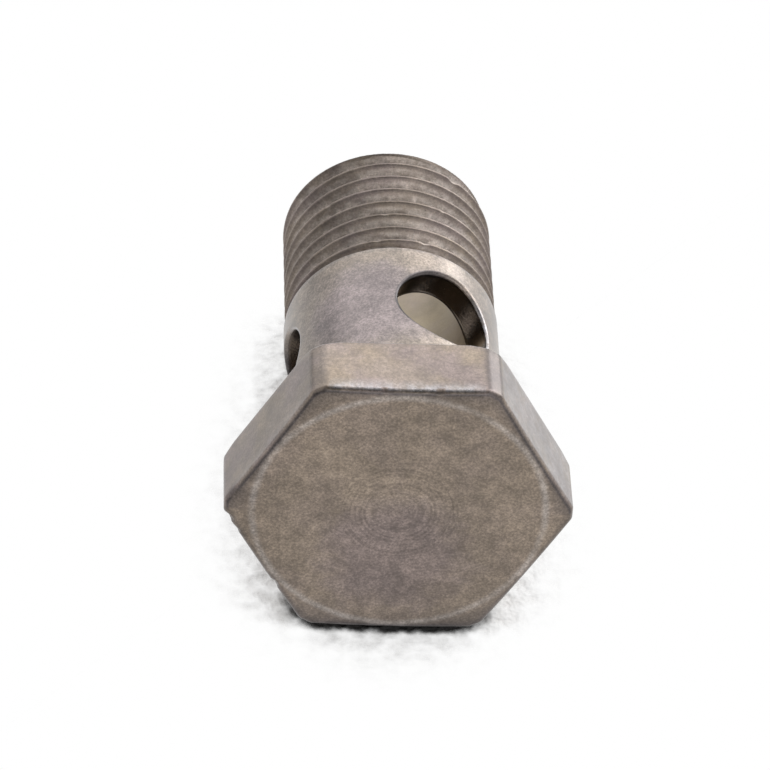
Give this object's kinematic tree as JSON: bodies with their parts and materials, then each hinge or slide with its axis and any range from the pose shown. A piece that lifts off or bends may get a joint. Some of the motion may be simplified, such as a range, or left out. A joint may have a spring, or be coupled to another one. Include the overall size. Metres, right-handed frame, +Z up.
{
  "type": "banjo bolt",
  "caption": "Hollow hexagon-head bolt with a plain drilled shank and a fine-threaded, open end, for feeding fluid through a ring fitting.",
  "frame": {"origin": "centre of the bounding box's base, on the surface that the bolt lies on", "axes": "+Y along the bolt from the head to the open end, which dips 6.7 degrees, +Z up, +X to the right seen from the head"},
  "size_m": [0.0158, 0.0226, 0.0143],
  "materials": {
    "steel": "satin"
  },
  "bodies": {
    "root": {"banjo_bolt": "steel"}
  },
  "joints": []
}
